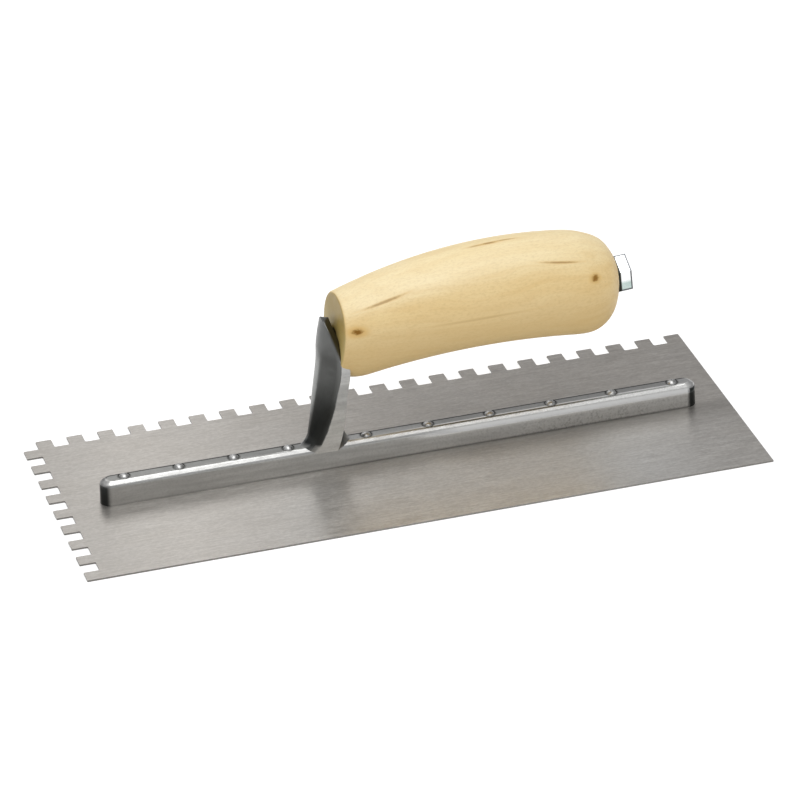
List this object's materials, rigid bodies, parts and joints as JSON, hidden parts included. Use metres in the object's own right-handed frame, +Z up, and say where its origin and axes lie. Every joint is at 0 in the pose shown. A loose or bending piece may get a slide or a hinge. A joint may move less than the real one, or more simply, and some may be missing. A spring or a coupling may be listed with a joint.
{
  "type": "notched trowel",
  "caption": "Flooring trowel: steel blade with square notches on one long and one short edge, riveted under a cast bar whose flared shank carries an arched wooden grip.",
  "frame": {"origin": "centre of the blade's underside, under the middle of the plate", "axes": "+X along the blade from its notched short edge towards the handle's nut, +Y towards the notched long edge, +Z up from the blade's underside to the handle"},
  "size_m": [0.2794, 0.1142, 0.0868],
  "materials": {
    "blade_steel": "ground along its length, satin",
    "cast_aluminium": "satin cast",
    "rivet_steel": "bright",
    "birch": "smooth, clear lacquer",
    "plain_steel": "plain",
    "bright_zinc": "bright zinc plating"
  },
  "bodies": {
    "root": {"blade": "blade_steel", "mounting": "cast_aluminium", "rivet_01": "rivet_steel", "rivet_02": "rivet_steel", "rivet_03": "rivet_steel", "rivet_04": "rivet_steel", "rivet_05": "rivet_steel", "rivet_06": "rivet_steel", "rivet_07": "rivet_steel", "rivet_08": "rivet_steel", "rivet_09": "rivet_steel", "rivet_10": "rivet_steel", "handle": "birch", "tang_rod": "plain_steel", "washer": "plain_steel", "nut": "bright_zinc"}
  },
  "joints": []
}
